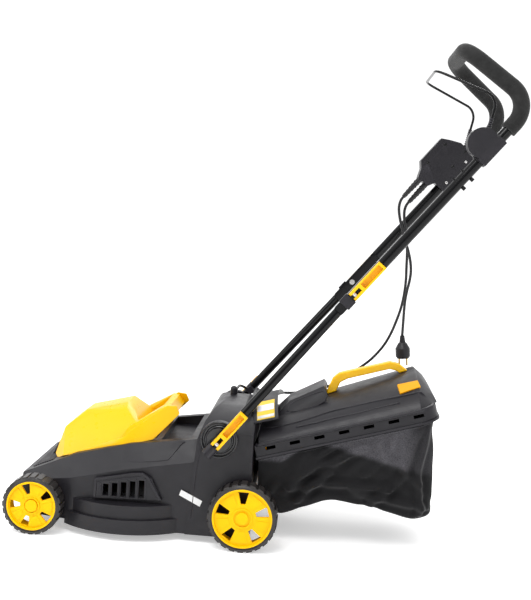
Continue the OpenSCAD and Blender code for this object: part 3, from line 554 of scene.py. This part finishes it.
def add_bag():
    stations = smooth_path(BAG_STATIONS, per=7)
    rows = [bag_section(s) for s in stations]
    bm = bmesh.new()
    grid = []
    for row in rows:
        line = []
        for p in row:
            side = 1 if p.y > 0 else -1
            top = rim_z(min(p.x, 425))
            free = min(1.0, max(0.0, (top - p.z - 4) / 28)) * min(1.0, max(0.0, (p.x - 26) / 20))
            out = fold_height(p.x, p.z, side) * min(1.0, abs(p.y) / 90)
            out += 5 * noise.noise(Vector((p.x * 0.011, p.y * 0.013, p.z * 0.017 + 4)))
            out += 1.6 * noise.noise(Vector((p.x * 0.05, p.y * 0.05, p.z * 0.02)))
            away = Vector((max(0.0, p.x - 380) * 0.02, p.y / 130, -max(0.0, (120 - p.z) / 60)))
            move = away.normalized() * (out * free) if away.length > 0.05 else Vector((0, 0, -out * free))
            q = p + move
            line.append(bm.verts.new(at(q.x, q.y, q.z)))
        grid.append(line)
    for a, b in zip(grid, grid[1:]):
        for k in range(len(a) - 1):
            bm.faces.new((a[k], a[k + 1], b[k + 1], b[k]))
    bag = add_piece("grass_bag_cloth", bm, "grass_box", "mesh_fabric")
    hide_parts("grass_bag")
    # a sewn hem under the frame
    round_box = HEM + [(424, 0)] + [(back, -y) for back, y in HEM[::-1]]
    hem = [at(back, y, rim_z(back) - 9) for back, y in round_box]
    binding = add_piece("grass_bag_hem", sweep(smooth_path(hem, 12 * MM), 2.2 * MM, sides=8), "grass_box",
                        "mesh_fabric")


add_bag()


# ---- deck details ----
# Deck sections as distance ahead of the rear axle, height of the ridge and of the shoulder, in mm
DECK = [(118, 236, 191), (281, 212, 160), (410, 178, 130), (535, 124, 108)]


def hood(ahead, share, lift=0.0):
    """A point on the left's sloped face between ridge (share 0) and shoulder (1), lifted off it in mm."""
    for (a, ridge_a, low_a), (b, ridge_b, low_b) in zip(DECK, DECK[1:]):
        if ahead <= b:
            break
    t = (ahead - a) / (b - a)
    ridge, low = ridge_a + (ridge_b - ridge_a) * t, low_a + (low_b - low_a) * t
    y = 140 + 38 * share
    return at(-ahead, y + lift * 0.75, ridge + (low - ridge) * share + lift * 0.66)


def mirrored(bm):
    """The bmesh together with its mirror image across the mower's middle plane."""
    copy = bm.copy()
    for v in copy.verts:
        v.co.y = -v.co.y
    bmesh.ops.reverse_faces(copy, faces=copy.faces)
    return join([bm, copy])


def add_hood_panel():
    """The raised upper part of the hood; its lower edge is a stepped line that runs out towards the front."""
    line = [(150, 0.08, 2.2), (160, 0.24, 2.4), (180, 0.72, 2.4), (192, 0.80, 2.4), (240, 0.77, 1.6),
            (300, 0.66, 0.0)]
    bm = bmesh.new()
    rows = []
    for ahead, edge, thick in smooth_path(line, per=6):
        section = [(0.02, -1), (0.03, thick * 0.25), (0.1 + edge * 0.3, thick * 0.8), (edge, thick),
                   (edge + 0.045, -1)]
        rows.append([bm.verts.new(hood(ahead, share, lift)) for share, lift in section])
    close_rings(bm, rows)
    panel = add_piece("hood_panel", mirrored(bm), "deck", "black_plastic")
    round_edges(panel, 0.5 * MM, 2, 40)


def bar(points, width, y0, y1):
    """A flat bar on the deck's side that follows points (distance ahead of the rear axle, height), in mm."""
    bm = bmesh.new()
    rows = []
    pts = [Vector(p) for p in points]
    for i, p in enumerate(pts):
        before = (p - pts[i - 1]).normalized() if i else (pts[1] - p).normalized()
        after = (pts[i + 1] - p).normalized() if i < len(pts) - 1 else before
        n = Vector((-(before + after).y, (before + after).x)).normalized()
        n *= width / 2 / max(0.5, n.dot(Vector((-before.y, before.x))))
        section = ((p + n, y0), (p + n, y1), (p - n, y1), (p - n, y0))
        rows.append([bm.verts.new(at(-q.x, y, q.y)) for q, y in section])
    return close_rings(bm, rows)


def add_vent_frame():
    """The louvre's raised border and the ribs between its slots."""
    border = bar([(350, 92), (348, 134), (262, 153), (240, 155), (226, 147), (196, 97)], 6, 183, 189.5)
    inner = bar([(345, 128), (263, 146), (243, 148)], 2, 183, 188)
    pitch = 21
    ribs = [bar([(335 - i * pitch, 96), (337 - i * pitch, 127 + i * 3.9)], 3.2, 183, 188.8) for i in range(6)]
    louvre = mirrored(join([border, inner, *ribs]))
    round_edges(add_piece("vent_frame", louvre, "deck", "black_plastic"), 1.1 * MM, 3, 40)


def add_nose():
    """Ribbed strip and catch on the deck's nose, in front of the yellow cover."""
    ribs = []
    for k in range(9):
        ahead = 472 + k * 5.5
        z = 178 - (ahead - 410) * 0.432
        corners = [at(-ahead - 1.6, -118, z - 1.5), at(-ahead + 1.6, -118, z - 0.2),
                   at(-ahead + 1.6, 118, z - 0.2), at(-ahead - 1.6, 118, z - 1.5)]
        ribs.append(slab(corners, [Vector((1, 0, 2.6)) * MM] * 4))
    strip = add_piece("nose_ribs", join(ribs), "deck", "black_plastic")
    round_edges(strip, 0.7 * MM, 2, 40)
    rear_lift, front_lift = Vector((-8, 0, 46)) * MM, Vector((-14, 0, 30)) * MM
    catch = slab([at(-474, -34, 150), at(-498, -34, 140), at(-498, 34, 140), at(-474, 34, 150)],
                 [rear_lift, front_lift, front_lift, rear_lift])
    round_edges(add_piece("nose_catch", catch, "deck", "boss_plastic"), 3 * MM, 3, 30)


def add_bosses():
    """Turned rings round the lower handle's pivots."""
    ring = [(0, 43.4), (4.6, 43.4), (6.6, 42.4), (7.3, 40.6), (6.6, 38.6), (1.5, 37.6), (1.0, 34.8),
            (3.4, 33.4), (5.4, 31.2), (6.2, 29.0), (0, 29.0)]
    for name, side in (("left", 1), ("right", -1)):
        base = PIVOT + Vector((0, side * BOSS_FACE, 0))
        piece = lathe(base, (0, side, 0), ring, 72)
        add_piece(f"boss_ring_{name}", piece, "deck", "boss_plastic")


def add_sticker():
    """A plain sticker on the left skirt."""
    corners = [at(148, 182.25, 124), at(98, 182.25, 101), at(103, 182.25, 87), at(152.5, 182.25, 111)]
    ahead = [Vector((2 * REAR_AXLE - c.x, c.y, c.z)) for c in corners]
    sticker = slab(ahead, [Vector((0, 0.4 * MM, 0))] * 4)
    add_piece("side_sticker", sticker, "deck", "label_white", smooth=False)


# ---- yellow cover: the band along each flank that widens into the arm of the carry bar ----
# Each pair is a point on the band's low edge and one on its top edge: distance ahead of the rear axle, height
COVER_BAND = [((430, 166), (434, 172)), ((380, 182), (380, 191)), ((330, 196), (330, 211)),
              ((303, 203), (303, 222)), ((280, 209), (279, 244)), ((256, 215), (250, 266)),
              ((231, 220), (228, 283)), ((203, 249), (206, 297)), ((176, 278), (184, 296))]


def flank(node):
    """A function that gives how far a node's left flank lies from the middle plane, in mm."""
    mesh = NODES[node].data
    tree = BVHTree.FromPolygons([v.co for v in mesh.vertices], [tuple(p.vertices) for p in mesh.polygons])

    def half_width(back, z):
        # just below the part's lower edge, its width a little higher up counts
        for rise in range(0, 16, 2):
            hit = tree.ray_cast(at(back, 400, z + rise), Vector((0, -1, 0)))[0]
            if hit and hit.y > 0.03:
                return hit.y / MM
        return 0.0
    return half_width


def add_cover_band():
    """A raised band along each flank of the cover, which leaves the flank where it becomes the arm."""
    surface = flank("motor_cover")
    bm = bmesh.new()
    rows = []
    for low, top in COVER_BAND:
        outer, inner = [], []
        for k in range(5):
            ahead, z = (low[i] + (top[i] - low[i]) * k / 4 for i in (0, 1))
            y = surface(-ahead, z) + 1.8
            if ahead < 305:
                y = max(y, 128.5 - 0.33 * (z - 215) - 0.3 * max(0, 262 - ahead))
            outer.append(bm.verts.new(at(-ahead, y, z)))
            inner.append(bm.verts.new(at(-ahead, y - (3 if ahead > 270 else 7), z)))
        rows.append(outer + inner[::-1])
    band = mirrored(close_rings(bm, rows))
    round_edges(add_piece("cover_band", band, "deck", "yellow_plastic"), 1.0 * MM, 3, 40)


# ---- grass box lid: raised beads, rim and pad, and the seam on the rear housing ----
# Each bead is its radius and its points on the left: back of the rear axle, across and up, in mm
LID_BEADS = [
    (2.4, [(30, 116, 266), (54, 123, 274), (100, 127, 288), (146, 123, 305), (189, 118, 322), (238, 120, 337),
           (283, 122, 352), (341, 125, 369), (371, 125, 378), (389, 123, 382), (400, 122, 372)]),
    (1.9, [(107, 144, 283), (150, 144, 296), (193, 142, 310), (247, 142, 326), (295, 140, 342),
           (341, 140, 357)]),
    (1.3, [(81, 67, 300), (95, 53, 321), (164, 58, 354), (172, 69, 337), (147, 75, 320), (106, 73, 305),
           (81, 67, 300)]),
]
LID_RIM = [(18, 165), (120, 165), (260, 165), (368, 165), (394, 160), (410, 147), (418, 128), (420, 60),
           (420, 0)]
SEAM = [(-104, 190.5, 258), (-109, 182.6, 216), (-113, 182.6, 190), (-116, 182.6, 165), (-120, 182.6, 104),
        (-123, 182.6, 60)]


def bead(points, radius):
    """A round bead along the points, on both sides."""
    return mirrored(sweep(smooth_path([at(*p) for p in points], 8 * MM), radius * MM, sides=10))


def add_lid_details():
    for i, (radius, points) in enumerate(LID_BEADS, 1):
        add_piece(f"lid_bead_{i}", bead(points, radius), "grass_box", "black_plastic")
    half = [(b, y, rim_z(b + 7.7) + 26.5) for b, y in LID_RIM]
    rim = half + [(b, -y, z) for b, y, z in half[-2::-1]]
    add_piece("lid_rim", sweep(smooth_path([at(*p) for p in rim], 9 * MM), 3.8 * MM, sides=12), "grass_box",
              "black_plastic")
    pad = slab([at(337, 84, 385), at(383, 87, 399), at(389, 111, 389), at(342, 121, 372)],
               [Vector((0, 2.4, 4.6)) * MM] * 4)
    round_edges(add_piece("lid_pad", pad, "grass_box", "pale_yellow"), 0.8 * MM, 2, 40)
    add_piece("housing_seam", bead(SEAM, 0.9), "deck", "black_plastic")


add_cover_band()
add_lid_details()
add_hood_panel()
add_vent_frame()
add_nose()
add_bosses()
add_sticker()


# ---- flap label: plain bands, without lettering ----
FLAP_HINGE = at(-6, 0, 309)
FLAP_R = 350


def on_flap(back, arc_y, lift):
    """A point on the arched flap: back from the hinge and y across, in mm, lifted off its top."""
    a = arc_y / FLAP_R
    local = Vector((-back, (FLAP_R + lift) * math.sin(a), 6.5 - FLAP_R + (FLAP_R + lift) * math.cos(a)))
    rise = math.radians(16)
    x = local.x * math.cos(rise) + local.z * math.sin(rise)
    z = -local.x * math.sin(rise) + local.z * math.cos(rise)
    return FLAP_HINGE + Vector((x, local.y, z)) * MM


def flap_band(y0, y1):
    """A thin band across the label, from y0 to y1 mm along the arch."""
    upper, lower = 17, 57
    under, over = 0.6, 0.6 + 0.35
    steps = 8
    bm = bmesh.new()
    rows = []
    for k in range(steps + 1):
        y = y0 + (y1 - y0) * k / steps
        section = ((upper, under), (upper, over), (lower, over), (lower, under))
        rows.append([bm.verts.new(on_flap(back, y, lift)) for back, lift in section])
    return close_rings(bm, rows)


def add_flap_label():
    for name, mat, y0, y1 in (("grey", "label_grey", 82, 112), ("white", "label_white", 131, 142)):
        add_piece(f"flap_label_{name}", flap_band(y0, y1), "flap", mat)


add_flap_label()


# ---- switch box screws and bail sleeves ----
def add_handle_details():
    """Dark discs painted as the shade in the switch box's screw recesses, clamp screws on the switch box, and
    the ribbed sleeves at the bail's feet.
    """
    across = (0, 1, 0)
    # painted shade: thin, very dark discs stand for the shade inside the screw recesses
    recess = [(0, 0.5), (0, 3.8), (0.7, 3.8), (0.8, 0.5)]
    recesses = [lathe(on_handle(v, -128.4, s), across, recess)
                for v, s in ((66, 867), (67, 805), (15, 840), (17, 887))]
    add_piece("screw_recess_shade", join(recesses), "upper_handle", "black_paint")
    head = [(0, 0.5), (0, 3.6), (1.0, 3.6), (1.5, 2.4), (1.6, 0.4)]
    clamps = [lathe(on_handle(-1, -128.6, s), across, head) for s in (870, 800)]
    add_piece("clamp_screws", join(clamps), "upper_handle", "steel")
    for side, name in ((1, "left"), (-1, "right")):
        foot, bend = on_handle(16, side * 169.9, 888), on_handle(58, side * 166.6, 968)
        along = (bend - foot).normalized()
        rib = [(0, 3.1), (0.3, 4.7), (3.4, 4.7), (3.7, 3.1)]
        rings = [lathe(foot + along * ((16 + 5 * k) * MM), along, rib) for k in range(9)]
        add_piece("bail_sleeve_" + name, join(rings), "bail", "black_plastic")


add_handle_details()


# ---- camera, floor and light ----
def aim(obj, at):
    obj.rotation_euler = (Vector(at) - obj.location).to_track_quat("-Z", "Y").to_euler()


def add_camera():
    """The main viewpoint, on the mower's left."""
    turn, down, roll = math.radians(-3.7), math.radians(6.15), math.radians(3.43)
    ahead = Vector((-math.sin(turn), -math.cos(turn), 0))
    right = Vector((-math.cos(turn), math.sin(turn), 0))
    top = Vector((0, 0, 1))
    forward = ahead * math.cos(down) - top * math.sin(down)
    up = top * math.cos(down) + ahead * math.sin(down)
    right, up = right * math.cos(roll) + up * math.sin(roll), up * math.cos(roll) - right * math.sin(roll)
    data = bpy.data.cameras.new("camera")
    data.lens, data.sensor_width = 57.84, 36
    cam = link(bpy.data.objects.new("camera", data))
    cam.matrix_world = Matrix((right, up, -forward)).transposed().to_4x4()
    cam.location = (-0.1528, 2.3390, 0.8110)
    bpy.context.scene.camera = cam


def add_light(name, at, size, power, target=(0, 0, 0.4)):
    data = bpy.data.lights.new(name, "AREA")
    data.shape, data.size, data.energy = "DISK", size, power
    lamp = link(bpy.data.objects.new(name, data))
    lamp.location = at
    aim(lamp, target)


def add_stage():
    bm = bmesh.new()
    bmesh.ops.create_circle(bm, cap_ends=True, radius=40, segments=64)
    mesh = bpy.data.meshes.new("floor")
    bm.to_mesh(mesh)
    bm.free()
    mat, tree, shader = new_material("floor")
    tree.links.new(ramp(tree, noise_out(tree, 3), [(0, 0.86), (1, 0.88)]), shader.inputs["Base Color"])
    shader.inputs["Roughness"].default_value = 0.9
    shader.inputs["Specular IOR Level"].default_value = 0
    shader.inputs["Emission Color"].default_value = (1, 1, 1, 1)
    shader.inputs["Emission Strength"].default_value = 0.42
    mesh.materials.append(mat)
    floor = link(bpy.data.objects.new("floor", mesh))
    world = bpy.data.worlds.new("world")
    world.use_nodes = True
    tree = world.node_tree
    background = tree.nodes["Background"]
    split = add_node(tree, "ShaderNodeSeparateXYZ")
    tree.links.new(add_node(tree, "ShaderNodeTexCoord").outputs["Generated"], split.inputs[0])
    # the studio is white to the camera; for the lighting it is white above, and on the mower's left it is
    # darker at eye level
    low = ramp(tree, split.outputs["Z"], [(0.15, 0.0), (0.6, 1.0)])
    left = ramp(tree, split.outputs["Y"], [(0.0, 1.0), (0.5, 0.16)])
    lift = add_node(tree, "ShaderNodeMath")
    lift.operation = "MAXIMUM"
    tree.links.new(low, lift.inputs[0])
    tree.links.new(left, lift.inputs[1])
    seen = add_node(tree, "ShaderNodeMath")
    seen.operation = "MAXIMUM"
    tree.links.new(lift.outputs[0], seen.inputs[0])
    tree.links.new(add_node(tree, "ShaderNodeLightPath").outputs["Is Camera Ray"], seen.inputs[1])
    tree.links.new(seen.outputs[0], background.inputs[0])
    background.inputs[1].default_value = 1.12
    bpy.context.scene.world = world
    add_light("key", (0.5, 1.5, 2.9), 1.5, 42, (0, 0, 0.3))
    add_light("fill", (-1.6, 2.2, 1.3), 1.6, 7)
    add_light("front", (2.2, 1.0, 1.6), 1.4, 14, (0.3, 0, 0.2))
    add_light("back", (-0.6, -2.4, 2.4), 2.0, 34)
    bpy.context.scene.view_settings.view_transform = "Standard"


add_camera()
add_stage()
